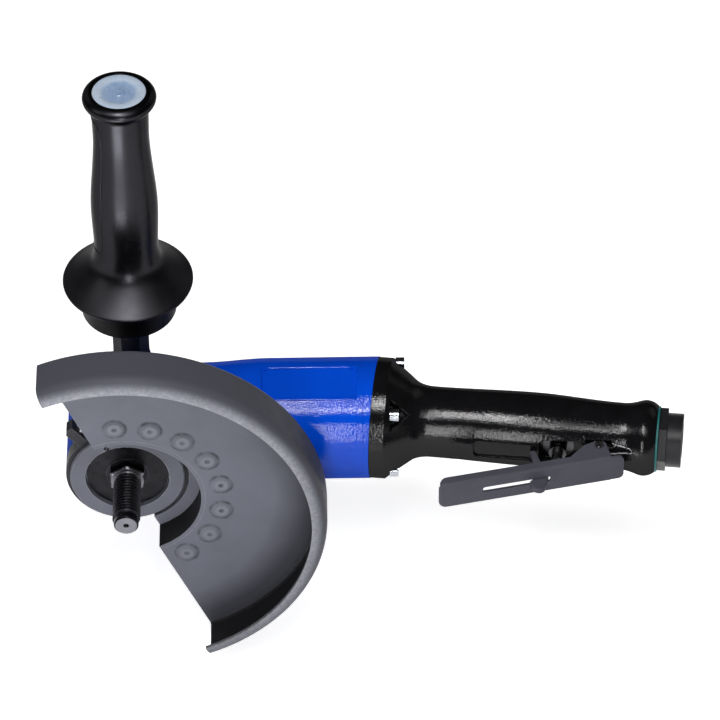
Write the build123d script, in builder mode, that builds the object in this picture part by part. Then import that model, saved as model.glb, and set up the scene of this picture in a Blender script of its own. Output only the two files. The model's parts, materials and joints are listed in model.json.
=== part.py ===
from build123d import *
from math import acos, atan2, cos, hypot, pi, radians, sin, tan
import os

# Air angle grinder in millimetres: spindle along Y, motor along X, side grip up Z.
# The origin is on the spindle axis at the shoulder that a wheel flange seats on.
os.makedirs("parts", exist_ok=True)

# Clearances
running_gap = 0.05
moving_gap = 0.4

# Spindle
thread_radius = 7.0
thread_length = 32.0
thread_chamfer = 1.4
centre_hole_radius = 2.2
centre_hole_depth = 3.0
shoulder_flats = 17.0
shoulder_turn = 30.0
shoulder_thickness = 5.0
seal_track_radius = 10.6
bearing_seat_radius = 10.0
gear_seat_radius = 9.0
rear_journal_radius = 6.0

# Dust washer and spindle seal
washer_radius = 20.5
washer_thickness = 1.2
seal_radius = 15.0
seal_thickness = 4.5

# Bearing cover on the neck of the head
cover_face = 2.6
cover_flange = 2.6
cover_radius = 29.0
cover_chamfer = 0.8
cover_floor = 7.0
cover_recess_gap = 0.7
cover_web = 1.4
spanner_hole_radius = 1.5
spanner_hole_circle = 22.6
spanner_hole_angle = 115.5
spanner_hole_depth = 2.0

# Ball bearings: bore radius, outer radius, width
front_spindle_bearing = (bearing_seat_radius, 23.5, 14.0)
rear_spindle_bearing = (rear_journal_radius, 16.0, 10.0)
bearing_wall = 0.28
ball_share = 0.6
ball_count = 8

# Gear head and motor barrel
apex_y = 44.6
head_radius = 31.0
neck_radius = 28.2
neck_length = 8.2
head_round = 17.0
chamber_radius = 26.7
chamber_reach = 14.0
barrel_radius = 31.0
waist_radius = 29.2
waist_end = 38.0
waist_blend = 34.0
spigot_length = 6.5
motor_bore = 24.5
pad_length = 48.0
pad_margin = 3.0
pad_depth = 1.9
pad_angle = 80.0

# Bevel gears
gear_module = 1.8
pinion_teeth = 13
ring_teeth = 27
pressure_angle = radians(20)
face_width = 8.0
tooth_backlash = 0.35
addendum_share = 0.9
dedendum_share = 1.25
ring_hub_radius = 13.0
ring_hub_step = 1.0
gear_nut_radius = 12.5
gear_nut_thickness = 4.0
key_width = 4.0
key_height = 4.0
key_length = 6.0
pinion_bore = 5.0
pinion_back = 3.2

# Air motor
motor_start = 29.5
plate_web = 2.0
liner_length = 58.0
liner_bore = 20.8
liner_offset = 1.6
rotor_radius = 19.0
rotor_end_gap = 0.05
front_shaft_radius = 7.5
rear_shaft_radius = 6.0
front_rotor_bearing = (front_shaft_radius, 17.5, 11.0)
rear_rotor_bearing = (rear_shaft_radius, 16.0, 10.0)
vane_count = 5
vane_thickness = 2.5
vane_height = 7.6
vane_gap = 0.05
dowel_radius = 1.2
dowel_bite = 4.0

# Handle, tilted towards the wheel side
handle_tilt = radians(7.6)
wedge_length = 6.5
flange_radius = 30.9
flange_thickness = 7.3
cone_end = (19.5, 20.9)
grip_start = 30.0
grip_radius = 18.05
grip_swell = (80.0, 18.95)
bulb_start = 126.0
bulb_start_radius = 17.0
bulb_peak = 138.5
bulb_radius = 19.3
handle_length = 143.9
handle_end_radius = 16.9
cavity_radius = 20.0
cavity_depth = 6.0
cavity_cone_end = 22.0
passage_radius = 8.0

# Handle screws
screw_radius = 2.0
screw_head_radius = 3.5
screw_head_height = 4.5
screw_circle = 27.0
screw_count = 4
screw_seat_depth = 8.9
screw_seat_step = 1.9
screw_bite = 12.0
screw_pocket_floor = 21.8
screw_pocket_half_width = 8.4
screw_pocket_length = 10.2
socket_flats = 3.0
socket_depth = 2.0

# Inlet
gasket_thickness = 1.0
gasket_radius = 16.7
inlet_hex_flats = 28.4
inlet_hex_length = 4.2
inlet_radius = 13.8
inlet_length = 7.8
inlet_shank_radius = 11.0
inlet_shank_length = 20.0
inlet_thread_radius = 9.316
inlet_thread_length = 16.0
inlet_throat_radius = 6.5
screen_thickness = 1.5
screen_hole_radius = 0.9
screen_hole_circles = (3.2, 6.8)
screen_hole_counts = (6, 12)

# Throttle valve, square to the handle axis
valve_place = 94.7
pocket_start = 85.0
pocket_end = 111.0
pocket_floor = 10.0
pocket_half_width = 8.6
pocket_corner = 3.0
panel_start = 52.0
panel_floor = 16.5
panel_half_width = 5.5
panel_corner = 3.0
valve_bore_radius = 8.0
valve_seat_level = -3.5
bushing_top = 16.2
bushing_neck_radius = 4.5
bushing_guide = 9.0
bushing_flow_radius = 5.6
bushing_port_radius = 2.5
bushing_groove = 0.6
stem_radius = 2.8
stem_band_radius = 3.2
stem_band_length = 2.2
stem_cap_length = 7.4
poppet_radius = 6.8
poppet_thickness = 3.0
valve_spring_wire = 0.4
valve_spring_radius = 4.6
valve_spring_turns = 3

# Throttle lever
lever_pin_place = 115.7
lever_pin_level = 16.7
lever_pin_radius = 1.6
lever_pin_head_radius = 2.2
lever_pin_head = 0.9
lever_angle = radians(19.75)
lever_width = 16.4
lever_thickness = 1.6
lever_drop = 9.8
lever_side = 5.0
lever_reach = 85.3
lever_tail = 10.5
lever_tail_half_width = 7.4
lever_corner = 3.0
lever_tip_corner = 4.0
lever_bend = 1.2
ear_radius = 3.8
ear_reach = 16.3
ear_rise = 7.3
slot_start = 27.4
slot_corner = 1.2
slot_end = 62.7
slot_width = 3.5
lever_travel = radians(14)
lug_gap = 0.4
lug_radius = 4.0
ear_relief = 3.2

# Safety latch in the lever's slot
latch_place = 30.3
latch_level = 8.0
latch_thickness = 2.8
latch_hub_radius = 2.0
latch_pin_radius = 0.8
latch_leg_width = 2.6
latch_leg_reach = 18.6
latch_leg_angle = radians(5)
latch_tab_length = 8.0
latch_tab_height = 9.0
latch_tab_tip = 3.6
latch_tab_lean = radians(21)
knuckle_radius = 1.5
knuckle_length = 3.0

# Side grip on the head
grip_x = 3.0
boss_radius = 9.6
boss_top = 46.5
stud_radius = 6.0
stud_bite = 18.0
stud_hex_flats = 15.8
stud_hex_length = 17.5
stud_hex_chamfer = 1.0
stud_neck_radius = 9.0
stud_rod_radius = 5.0
stud_rod_end = 190.0
cup_start = 77.4
cup_end = 92.5
cup_radius = 23.6
cup_round = 0.9
collar_level = 96.5
collar_radius = 32.2
collar_under = (94.0, 30.4)
collar_top = (98.6, 29.6)
grip_waist = (121.7, 15.8)
grip_belly = (145.0, 16.5)
grip_neck = (191.0, 13.65)
grip_flange_start = (206.0, 14.0)
grip_flange_level = 213.4
grip_flange_radius = 18.0
grip_end = 217.0
cap_radius = 13.2
cap_seat = 210.0
cap_recess_radius = 8.6
cap_recess = 2.2
cap_bump_radius = 2.2

# Guard
guard_radius = 100.4
guard_sheet = 2.0
guard_face = -12.4
guard_front = -36.0
guard_inner = 39.3
guard_lip_width = 7.8
guard_rear_round = 3.4
guard_front_round = 7.0
guard_middle = 23.9
weld_circle = 48.15
weld_radius = 5.9
weld_height = 1.0
weld_dent = 1.5
weld_count = 8
weld_first = 95.5
weld_step = 21.2
collar_wall = 2.0
collar_seat = 3.5
collar_weld = 2.0
band_thickness = 2.5
band_gap = 0.3
band_width = 7.2
ear_angle = 130.0
lug_thickness = 5.5
lug_corner = 1.8
ear_gap = 3.4
ear_thickness = 2.5
ear_height = 10.6
ear_screw_level = 5.0
clamp_screw_radius = 2.0
clamp_head_radius = 3.5
clamp_head_height = 3.2
clamp_nut_radius = 3.0
clamp_nut_thickness = 4.2

# Worked out from the sizes above
washer_face = shoulder_thickness
cover_back = cover_face + cover_flange
seal_face = cover_floor + cover_web
front_bearing_y = seal_face + seal_thickness + cover_web
cover_end = front_bearing_y + front_spindle_bearing[2]
head_back = apex_y + waist_radius
chamber_end = apex_y + chamber_reach
rear_bearing_y = chamber_end
neck_end = cover_back + neck_length
pitch_angle = atan2(pinion_teeth, ring_teeth)
cone_distance = gear_module * hypot(pinion_teeth, ring_teeth) / 2
ring_hub_y = cover_end
ring_back_y = ring_hub_y + ring_hub_step
front_plate_end = motor_start + front_rotor_bearing[2] + plate_web
liner_end = front_plate_end + liner_length
rear_bearing_x = liner_end + plate_web
stack_end = rear_bearing_x + rear_rotor_bearing[2]
barrel_end = stack_end + spigot_length
pad_end = barrel_end - pad_margin
pad_start = pad_end - pad_length
handle_start = barrel_end + wedge_length
screw_seat = handle_start + screw_seat_depth
guard_lip = guard_radius - guard_lip_width
pinion_back_x = cone_distance * cos(pitch_angle) + pinion_back
gasket_end = handle_length + gasket_thickness
inlet_hex_end = gasket_end + inlet_hex_length
inlet_end = inlet_hex_end + inlet_length
screw_reach = screw_circle * cos(pi / 4)
inlet_shank_start = handle_length - inlet_shank_length
screen_start = inlet_shank_start - screen_thickness
lug_half_width = lever_width / 2 - lever_thickness - lug_gap
web_level = lever_drop - lever_thickness
stem_tip = (
    lever_pin_level
    + web_level / cos(lever_angle)
    + (lever_pin_place - valve_place) * tan(lever_angle)
    - stem_radius / 2 * tan(lever_angle)
    - moving_gap
)
poppet_level = valve_seat_level - poppet_thickness
stem_arm = lever_pin_place - valve_place - stem_radius / 2
pressed_angle = lever_angle - lever_travel
stem_travel = (
    web_level / cos(lever_angle)
    - web_level / cos(pressed_angle)
    + stem_arm * (tan(lever_angle) - tan(pressed_angle))
)
spring_solid = 2 * valve_spring_wire * (valve_spring_turns + 1)
valve_bore_floor = poppet_level - stem_travel - spring_solid
band_inner = neck_radius + band_gap
band_start = cover_back + band_gap
band_end = band_start + band_width
band_outer = band_inner + band_thickness
collar_outer = guard_inner
guard_back = guard_face + guard_sheet


def axis_plane(origin, along, side=(0, 0, 1)):
    """Plane of a turned outline: first axis along the part, second axis its radius."""
    return Plane(origin=origin, x_dir=along, z_dir=side)


def across(plane, along):
    """Plane square to a turning axis, at a distance along it."""
    return Plane(origin=plane.from_local_coords((along, 0, 0)), x_dir=plane.y_dir, z_dir=plane.x_dir)


def turned(plane, outline, mode=Mode.ADD):
    """Turn a closed outline of (along, radius) points about the plane's first axis."""
    with BuildSketch(plane) as section:
        with BuildLine():
            Polyline(*outline, close=True)
        make_face()
    revolve(section.sketch, axis=Axis(plane.origin, plane.x_dir), mode=mode)


def ring(plane, start, end, outer, inner=0, mode=Mode.ADD):
    """Plain ring or disc between two places along an axis."""
    turned(plane, [(start, inner), (end, inner), (end, outer), (start, outer)], mode)


def round_holes(plane, start, end, radius, circle, count, first=0, mode=Mode.SUBTRACT):
    """Round holes, or rods, on a circle about an axis."""
    with BuildSketch(across(plane, start)) as section:
        with PolarLocations(circle, count, first):
            Circle(radius)
    extrude(section.sketch, amount=end - start, mode=mode)


def hexagon(plane, start, end, flats, turn=0, mode=Mode.ADD):
    """Hexagonal prism along an axis, sized across its flats."""
    with BuildSketch(across(plane, start)) as section:
        RegularPolygon(flats / 2, 6, major_radius=False, rotation=turn)
    extrude(section.sketch, amount=end - start, mode=mode)


def slab(plane, corners, half_width, mode=Mode.ADD):
    """Flat plate of a cornered outline, centred on the plane."""
    with BuildSketch(plane) as section:
        with BuildLine():
            Polyline(*corners, close=True)
        make_face()
    extrude(section.sketch, amount=half_width, both=True, mode=mode)


def helix_path(start, along, side, radius, pitch, turns):
    """Coil centre line as tangent arcs, two to each quarter turn."""
    third = along.cross(side)
    speed = pitch / (2 * pi)
    arcs = []
    for quarter in range(4 * turns):
        ends = []
        for step in (0, 1):
            angle = (quarter + step) * pi / 2
            spoke = side * (radius * cos(angle)) + third * (radius * sin(angle))
            place = start + spoke + along * (speed * angle)
            heading = side * (-radius * sin(angle)) + third * (radius * cos(angle)) + along * speed
            ends.append((place, heading.normalized()))
        (first, first_heading), (last, last_heading) = ends
        chord = last - first
        total = first_heading + last_heading
        spread = 2 * (1 - first_heading.dot(last_heading))
        lean = chord.dot(total)
        reach = (-lean + (lean * lean + spread * chord.dot(chord)) ** 0.5) / spread
        near = first + first_heading * reach
        far = last - last_heading * reach
        middle = (near + far) / 2
        arcs.append(Edge.make_tangent_arc(first, first_heading, middle))
        arcs.append(Edge.make_tangent_arc(middle, (far - near).normalized(), last))
    return Wire(arcs)


def keep(piece, name):
    """Label a finished piece and write it."""
    piece.part.label = name
    export_step(piece.part, f"parts/{name}.step")


# Turning axes
handle_along = Vector(cos(handle_tilt), -sin(handle_tilt), 0)
handle_out = Vector(-sin(handle_tilt), -cos(handle_tilt), 0)
handle_origin = Vector(handle_start, apex_y, 0)
apex = Vector(0, apex_y, 0)
spindle_axis = axis_plane((0, 0, 0), (0, 1, 0))
motor_axis = axis_plane(apex, (1, 0, 0))
handle_axis = axis_plane(handle_origin, handle_along)
grip_axis = axis_plane((grip_x, apex_y, 0), (0, 0, 1), (0, -1, 0))
valve_axis = axis_plane(handle_origin + handle_along * valve_place, handle_out)

# Lever plane: first axis along the web to its tip, second axis out of the handle
lever_pivot = handle_origin + handle_along * lever_pin_place + handle_out * lever_pin_level
lever_along = handle_out * sin(lever_angle) - handle_along * cos(lever_angle)
lever_plane = Plane(origin=lever_pivot, x_dir=lever_along, z_dir=(0, 0, 1))
pin_axis = axis_plane(lever_pivot, (0, 0, 1), lever_along)
latch_pivot = lever_plane.from_local_coords((latch_place, latch_level, 0))
latch_axis = axis_plane(latch_pivot, (0, 0, 1), lever_along)


# Gear head and motor barrel in one casting
with BuildPart() as housing:
    round_centre = (head_back - head_round, head_radius - head_round)
    round_middle = head_round * cos(pi / 4)
    with BuildSketch(spindle_axis):
        with BuildLine():
            Polyline(
                (head_back, 0),
                (cover_back, 0),
                (cover_back, neck_radius),
                (neck_end, neck_radius),
                (neck_end, head_radius),
                (round_centre[0], head_radius),
            )
            ThreePointArc(
                (round_centre[0], head_radius),
                (round_centre[0] + round_middle, round_centre[1] + round_middle),
                (head_back, round_centre[1]),
            )
            Line((head_back, round_centre[1]), (head_back, 0))
        make_face()
    revolve(axis=Axis(spindle_axis.origin, spindle_axis.x_dir))
    with BuildSketch(motor_axis):
        with BuildLine():
            Polyline((waist_end, waist_radius), (0, waist_radius), (0, 0), (barrel_end, 0))
            Polyline((barrel_end, 0), (barrel_end, barrel_radius), (waist_end + waist_blend, barrel_radius))
            Spline(
                (waist_end + waist_blend, barrel_radius),
                (waist_end, waist_radius),
                tangents=[(-1, 0), (-1, 0)],
            )
        make_face()
    revolve(axis=Axis(motor_axis.origin, motor_axis.x_dir))
    ring(grip_axis, 0, boss_top, boss_radius)
    ring(spindle_axis, cover_back, chamber_end, chamber_radius, mode=Mode.SUBTRACT)
    ring(spindle_axis, chamber_end, chamber_end + rear_spindle_bearing[2], rear_spindle_bearing[1],
         mode=Mode.SUBTRACT)
    ring(motor_axis, motor_start, barrel_end, motor_bore, mode=Mode.SUBTRACT)
    ring(motor_axis, 0, motor_start, chamber_reach, mode=Mode.SUBTRACT)
    ring(grip_axis, boss_top - stud_bite, boss_top, stud_radius, mode=Mode.SUBTRACT)
    round_holes(motor_axis, barrel_end - screw_bite, barrel_end, screw_radius, screw_circle, screw_count, 45)
    pad_out = (0, -cos(radians(pad_angle)), sin(radians(pad_angle)))
    pad_plane = Plane(origin=apex, x_dir=(1, 0, 0), z_dir=pad_out)
    with BuildSketch(pad_plane.offset(barrel_radius - pad_depth)):
        with Locations(((pad_start + pad_end) / 2, 0)):
            Rectangle(pad_end - pad_start, 2 * barrel_radius)
    extrude(amount=2 * pad_depth, mode=Mode.SUBTRACT)
keep(housing, "housing")

# Wedge ring between the barrel and the tilted handle
with BuildPart() as wedge_ring:
    ring(motor_axis, barrel_end, handle_start + barrel_radius, barrel_radius, motor_bore - plate_web)
    ring(motor_axis, stack_end, barrel_end, motor_bore, motor_bore - 2 * plate_web)
    split(bisect_by=across(handle_axis, 0), keep=Keep.BOTTOM)
    round_holes(motor_axis, barrel_end, handle_start + barrel_radius, screw_radius, screw_circle,
                screw_count, 45)
keep(wedge_ring, "wedge_ring")

# Handle casting
with BuildPart() as handle:
    with BuildSketch(handle_axis):
        with BuildLine():
            Polyline(
                cone_end,
                (flange_thickness, flange_radius),
                (0, flange_radius),
                (0, 0),
                (handle_length, 0),
                (handle_length, handle_end_radius),
            )
            Spline(
                (handle_length, handle_end_radius),
                (bulb_peak, bulb_radius),
                (bulb_start, bulb_start_radius),
                tangents=[(-1, 1), (-1, 0)],
            )
            Spline((bulb_start, bulb_start_radius), grip_swell, tangents=[(-1, 0), (-1, 0)])
            Spline(grip_swell, (grip_start, grip_radius), tangents=[(-1, 0), (-1, 0)])
            Spline((grip_start, grip_radius), cone_end, tangents=[(-1, 0), (-1, 0.82)])
        make_face()
    revolve(axis=Axis(handle_axis.origin, handle_axis.x_dir))
    # Lug for the lever pin
    slab(
        handle_axis,
        [
            (lever_pin_place - lug_radius, 0),
            (lever_pin_place + lug_radius, 0),
            (lever_pin_place + lug_radius, -lever_pin_level),
            (lever_pin_place - lug_radius, -lever_pin_level),
        ],
        lug_half_width,
    )
    ring(pin_axis, -lug_half_width, lug_half_width, lug_radius)
    # Room for the lever's ears beside the lug
    relief = ear_radius + ear_relief
    relief_depth = lever_width / 2 + lever_pin_head + moving_gap - lug_half_width
    for end in (-1, 1):
        with BuildSketch(lever_plane.offset(end * lug_half_width)) as ear_room:
            Circle(relief)
            with Locations((0, relief)):
                Rectangle(2 * relief, 2 * relief)
            with Locations((relief, relief)):
                Rectangle(2 * relief, 2 * relief)
        extrude(ear_room.sketch, amount=end * relief_depth, mode=Mode.SUBTRACT)
    # Valve pocket and the shallow panel before it
    with BuildSketch(Plane(handle_origin + handle_out * pocket_floor, handle_along, handle_out)) as pocket:
        with Locations(((pocket_start + pocket_end) / 2, 0)):
            RectangleRounded(pocket_end - pocket_start, 2 * pocket_half_width, pocket_corner)
    extrude(pocket.sketch, amount=grip_radius, mode=Mode.SUBTRACT)
    with BuildSketch(Plane(handle_origin + handle_out * panel_floor, handle_along, handle_out)) as panel:
        panel_end = pocket_start + 2 * panel_corner
        with Locations(((panel_start + panel_end) / 2, 0)):
            RectangleRounded(panel_end - panel_start, 2 * panel_half_width, panel_corner)
    extrude(panel.sketch, amount=grip_radius, mode=Mode.SUBTRACT)
    # Air way: front cavity, passage, valve bore, inlet
    turned(
        handle_axis,
        [(0, 0), (0, cavity_radius), (cavity_depth, cavity_radius), (cavity_cone_end, passage_radius),
         (valve_place, passage_radius), (valve_place, 0)],
        Mode.SUBTRACT,
    )
    ring(handle_axis, valve_place, screen_start, passage_radius, mode=Mode.SUBTRACT)
    ring(handle_axis, screen_start, handle_length, inlet_shank_radius, mode=Mode.SUBTRACT)
    ring(valve_axis, valve_bore_floor, pocket_floor, valve_bore_radius, mode=Mode.SUBTRACT)
    ring(pin_axis, -lug_half_width, lug_half_width, lever_pin_radius, mode=Mode.SUBTRACT)
    # Screw holes and the pointed pockets their heads sit in
    round_holes(motor_axis, barrel_end, screw_seat + screw_seat_step, screw_radius, screw_circle,
                screw_count, 45)
    for lift, side in ((1, 1), (1, -1), (-1, 1), (-1, -1)):
        outward = Vector(0, lift, side).normalized()
        seat = screw_seat + lift * screw_seat_step
        with BuildSketch(Plane(apex + outward * screw_pocket_floor, (1, 0, 0), outward)) as screw_pocket:
            with BuildLine():
                Polyline(
                    (seat, -screw_pocket_half_width),
                    (seat + screw_pocket_length, 0),
                    (seat, screw_pocket_half_width),
                    close=True,
                )
            make_face()
        extrude(screw_pocket.sketch, amount=flange_radius, mode=Mode.SUBTRACT)
keep(handle, "handle")

# Handle screws, a group of separate solids
with BuildPart() as handle_screws:
    round_holes(motor_axis, barrel_end - screw_bite, screw_seat - screw_seat_step, screw_radius, screw_circle,
                screw_count, 45, Mode.ADD)
    for lift in (1, -1):
        seat = screw_seat + lift * screw_seat_step
        places = [(lift * screw_reach, screw_reach), (lift * screw_reach, -screw_reach)]
        with BuildSketch(across(motor_axis, screw_seat - screw_seat_step)) as shanks:
            with Locations(*places):
                Circle(screw_radius)
        extrude(shanks.sketch, amount=seat - screw_seat + screw_seat_step + screw_head_height)
        with BuildSketch(across(motor_axis, seat)) as heads:
            with Locations(*places):
                Circle(screw_head_radius)
        extrude(heads.sketch, amount=screw_head_height)
        with BuildSketch(across(motor_axis, seat + screw_head_height)) as sockets:
            with Locations(*places):
                RegularPolygon(socket_flats / 2, 6, major_radius=False)
        extrude(sockets.sketch, amount=-socket_depth, mode=Mode.SUBTRACT)
keep(handle_screws, "handle_screws")

# Bearing cover screwed into the neck
with BuildPart() as bearing_cover:
    turned(
        spindle_axis,
        [
            (cover_face, washer_radius + cover_recess_gap),
            (cover_face, cover_radius - cover_chamfer),
            (cover_face + cover_chamfer, cover_radius),
            (cover_back, cover_radius),
            (cover_back, chamber_radius),
            (cover_end, chamber_radius),
            (cover_end, front_spindle_bearing[1]),
            (front_bearing_y, front_spindle_bearing[1]),
            (front_bearing_y, seal_radius),
            (seal_face, seal_radius),
            (seal_face, seal_track_radius + cover_recess_gap),
            (cover_floor, seal_track_radius + cover_recess_gap),
            (cover_floor, washer_radius + cover_recess_gap),
        ],
    )
    round_holes(spindle_axis, cover_face, cover_face + spanner_hole_depth, spanner_hole_radius,
                spanner_hole_circle, 1, 180 - spanner_hole_angle)
keep(bearing_cover, "bearing_cover")

# Spindle with its thread cylinder, hex shoulder and journals
key_start = ring_back_y
nut_start = apex_y - cone_distance * sin(pitch_angle) + face_width / 2
with BuildPart() as spindle:
    turned(
        spindle_axis,
        [
            (-thread_length, 0),
            (-thread_length, thread_radius - thread_chamfer),
            (thread_chamfer - thread_length, thread_radius),
            (shoulder_thickness, thread_radius),
            (shoulder_thickness, seal_track_radius),
            (front_bearing_y, seal_track_radius),
            (front_bearing_y, bearing_seat_radius),
            (ring_hub_y, bearing_seat_radius),
            (ring_hub_y, gear_seat_radius),
            (nut_start + gear_nut_thickness, gear_seat_radius),
            (nut_start + gear_nut_thickness, rear_journal_radius),
            (rear_bearing_y + rear_spindle_bearing[2], rear_journal_radius),
            (rear_bearing_y + rear_spindle_bearing[2], 0),
        ],
    )
    hexagon(spindle_axis, 0, shoulder_thickness, shoulder_flats, shoulder_turn)
    turned(
        spindle_axis,
        [(-thread_length, 0), (-thread_length, centre_hole_radius), (centre_hole_depth - thread_length, 0)],
        Mode.SUBTRACT,
    )
    with BuildSketch(across(spindle_axis, key_start)) as spindle_keyway:
        with Locations((0, gear_seat_radius)):
            Rectangle(key_width, key_height)
    extrude(spindle_keyway.sketch, amount=key_length, mode=Mode.SUBTRACT)
keep(spindle, "spindle")

# Key between spindle and ring gear
with BuildPart() as gear_key:
    with BuildSketch(across(spindle_axis, key_start)):
        with Locations((0, gear_seat_radius)):
            Rectangle(key_width, key_height)
    extrude(amount=key_length)
keep(gear_key, "gear_key")

# Dust washer in the cover's recess
with BuildPart() as dust_washer:
    ring(spindle_axis, washer_face, washer_face + washer_thickness, washer_radius, seal_track_radius)
keep(dust_washer, "dust_washer")

# Lip seal behind the washer
with BuildPart() as spindle_seal:
    ring(spindle_axis, seal_face, seal_face + seal_thickness, seal_radius, seal_track_radius + running_gap)
keep(spindle_seal, "spindle_seal")


def gear_tooth(along, radial, angle, teeth):
    """One straight bevel tooth: the same outline at both ends, drawn in towards the apex."""
    radius = gear_module * teeth / cos(angle) / 2
    base = radius * cos(pressure_angle)
    root = radius - dedendum_share * gear_module
    tip = radius + addendum_share * gear_module
    pitch_half = (pi * gear_module / 2 - tooth_backlash) / 2 / radius
    involute = tan(pressure_angle) - pressure_angle
    levels = [root, max(root, base), radius, (radius + tip) / 2, tip]
    flank = []
    for level in levels:
        turn = acos(min(1, base / level))
        half = pitch_half + involute - (tan(turn) - turn)
        flank.append((level * sin(half), level * cos(half) - radius))
    if levels[0] == levels[1]:
        flank.pop(0)
    flank.insert(0, (flank[0][0], -(dedendum_share + addendum_share) * gear_module))
    element = along * cos(angle) + radial * sin(angle)
    outward = radial * cos(angle) - along * sin(angle)
    ends = []
    for reach in (cone_distance, cone_distance - face_width):
        share = reach / cone_distance
        outline = [(share * w, share * h) for w, h in flank]
        outline += [(-share * w, share * h) for w, h in reversed(flank)]
        with BuildSketch(Plane(apex + element * reach, outward.cross(element), element)) as end:
            with BuildLine():
                Polyline(*outline, close=True)
            make_face()
        ends.append(end.sketch)
    return loft(ends, ruled=True)


def root_point(angle, reach):
    """Distance from the apex along the axis, and radius, of the root cone."""
    share = reach / cone_distance
    depth = dedendum_share * gear_module
    return (
        share * (cone_distance * cos(angle) + depth * sin(angle)),
        share * (cone_distance * sin(angle) - depth * cos(angle)),
    )


# Ring gear on the spindle
ring_angle = pi / 2 - pitch_angle
ring_tooth = gear_tooth(Vector(0, -1, 0), Vector(1, 0, 0), ring_angle, ring_teeth)
large_root = root_point(ring_angle, cone_distance)
small_root = root_point(ring_angle, cone_distance - face_width)
with BuildPart() as ring_gear:
    turned(
        spindle_axis,
        [
            (ring_hub_y, gear_seat_radius),
            (ring_hub_y, ring_hub_radius),
            (ring_back_y, ring_hub_radius),
            (ring_back_y, large_root[1]),
            (apex_y - large_root[0], large_root[1]),
            (apex_y - small_root[0], small_root[1]),
            (nut_start, small_root[1]),
            (nut_start, gear_seat_radius),
        ],
    )
    ring_turns = [step * 360 / ring_teeth for step in range(ring_teeth)]
    add([ring_tooth.rotate(Axis(apex, (0, 1, 0)), turn) for turn in ring_turns])
    with BuildSketch(across(spindle_axis, key_start)) as gear_keyway:
        with Locations((0, gear_seat_radius)):
            Rectangle(key_width, key_height)
    extrude(gear_keyway.sketch, amount=key_length, mode=Mode.SUBTRACT)
keep(ring_gear, "ring_gear")

# Nut that holds the ring gear
with BuildPart() as gear_nut:
    ring(spindle_axis, nut_start, nut_start + gear_nut_thickness, gear_nut_radius, gear_seat_radius)
keep(gear_nut, "gear_nut")

# Pinion on the rotor's nose, with a gap of its teeth facing the ring gear
pinion_tooth = gear_tooth(Vector(1, 0, 0), Vector(0, 1, 0), pitch_angle, pinion_teeth)
large_root = root_point(pitch_angle, cone_distance)
small_root = root_point(pitch_angle, cone_distance - face_width)
with BuildPart() as pinion:
    turned(
        motor_axis,
        [
            (small_root[0], pinion_bore),
            small_root,
            large_root,
            (pinion_back_x, large_root[1]),
            (pinion_back_x, pinion_bore),
        ],
    )
    pinion_turns = [step * 360 / pinion_teeth for step in range(pinion_teeth)]
    add([pinion_tooth.rotate(Axis(apex, (1, 0, 0)), turn) for turn in pinion_turns])
keep(pinion, "pinion")


def bearing(plane, start, sizes, name):
    """Ball bearing as two pieces: the outer ring, and the inner ring with its balls."""
    bore, outer, width = sizes
    wall = (outer - bore) * bearing_wall
    circle = (bore + outer) / 2
    ball = (outer - bore - 2 * wall) * ball_share
    middle = start + width / 2
    with BuildPart() as outer_ring:
        ring(plane, start, start + width, outer, outer - wall)
        with BuildSketch(plane) as race:
            with Locations((middle, circle)):
                Circle(ball + running_gap)
        revolve(race.sketch, axis=Axis(plane.origin, plane.x_dir), mode=Mode.SUBTRACT)
    keep(outer_ring, f"{name}_outer")
    with BuildPart() as inner_ring:
        ring(plane, start, start + width, bore + wall, bore)
        with BuildSketch(plane) as race:
            with Locations((middle, circle)):
                Circle(ball)
        revolve(race.sketch, axis=Axis(plane.origin, plane.x_dir), mode=Mode.SUBTRACT)
        with Locations(across(plane, middle)):
            with PolarLocations(circle, ball_count):
                Sphere(ball)
    keep(inner_ring, f"{name}_inner")


bearing(spindle_axis, front_bearing_y, front_spindle_bearing, "spindle_front_bearing")
bearing(spindle_axis, rear_bearing_y, rear_spindle_bearing, "spindle_rear_bearing")
bearing(motor_axis, motor_start, front_rotor_bearing, "rotor_front_bearing")
bearing(motor_axis, rear_bearing_x, rear_rotor_bearing, "rotor_rear_bearing")

# Rotor with vane slots
with BuildPart() as rotor:
    turned(
        motor_axis,
        [
            (small_root[0], 0),
            (small_root[0], pinion_bore),
            (pinion_back_x, pinion_bore),
            (pinion_back_x, front_shaft_radius),
            (front_plate_end + rotor_end_gap, front_shaft_radius),
            (front_plate_end + rotor_end_gap, rotor_radius),
            (liner_end - rotor_end_gap, rotor_radius),
            (liner_end - rotor_end_gap, rear_shaft_radius),
            (stack_end, rear_shaft_radius),
            (stack_end, 0),
        ],
    )
    with BuildSketch(across(motor_axis, front_plate_end)) as slots:
        with PolarLocations(rotor_radius - vane_height / 2, vane_count):
            Rectangle(vane_height + 2 * vane_gap, vane_thickness + 2 * vane_gap)
    extrude(slots.sketch, amount=liner_length, mode=Mode.SUBTRACT)
keep(rotor, "rotor")

# Vanes, a group of separate solids
with BuildPart() as vanes:
    with BuildSketch(across(motor_axis, front_plate_end + rotor_end_gap)):
        with PolarLocations(rotor_radius - vane_height / 2, vane_count):
            Rectangle(vane_height, vane_thickness)
    extrude(amount=liner_length - 2 * rotor_end_gap)
keep(vanes, "vanes")

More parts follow.
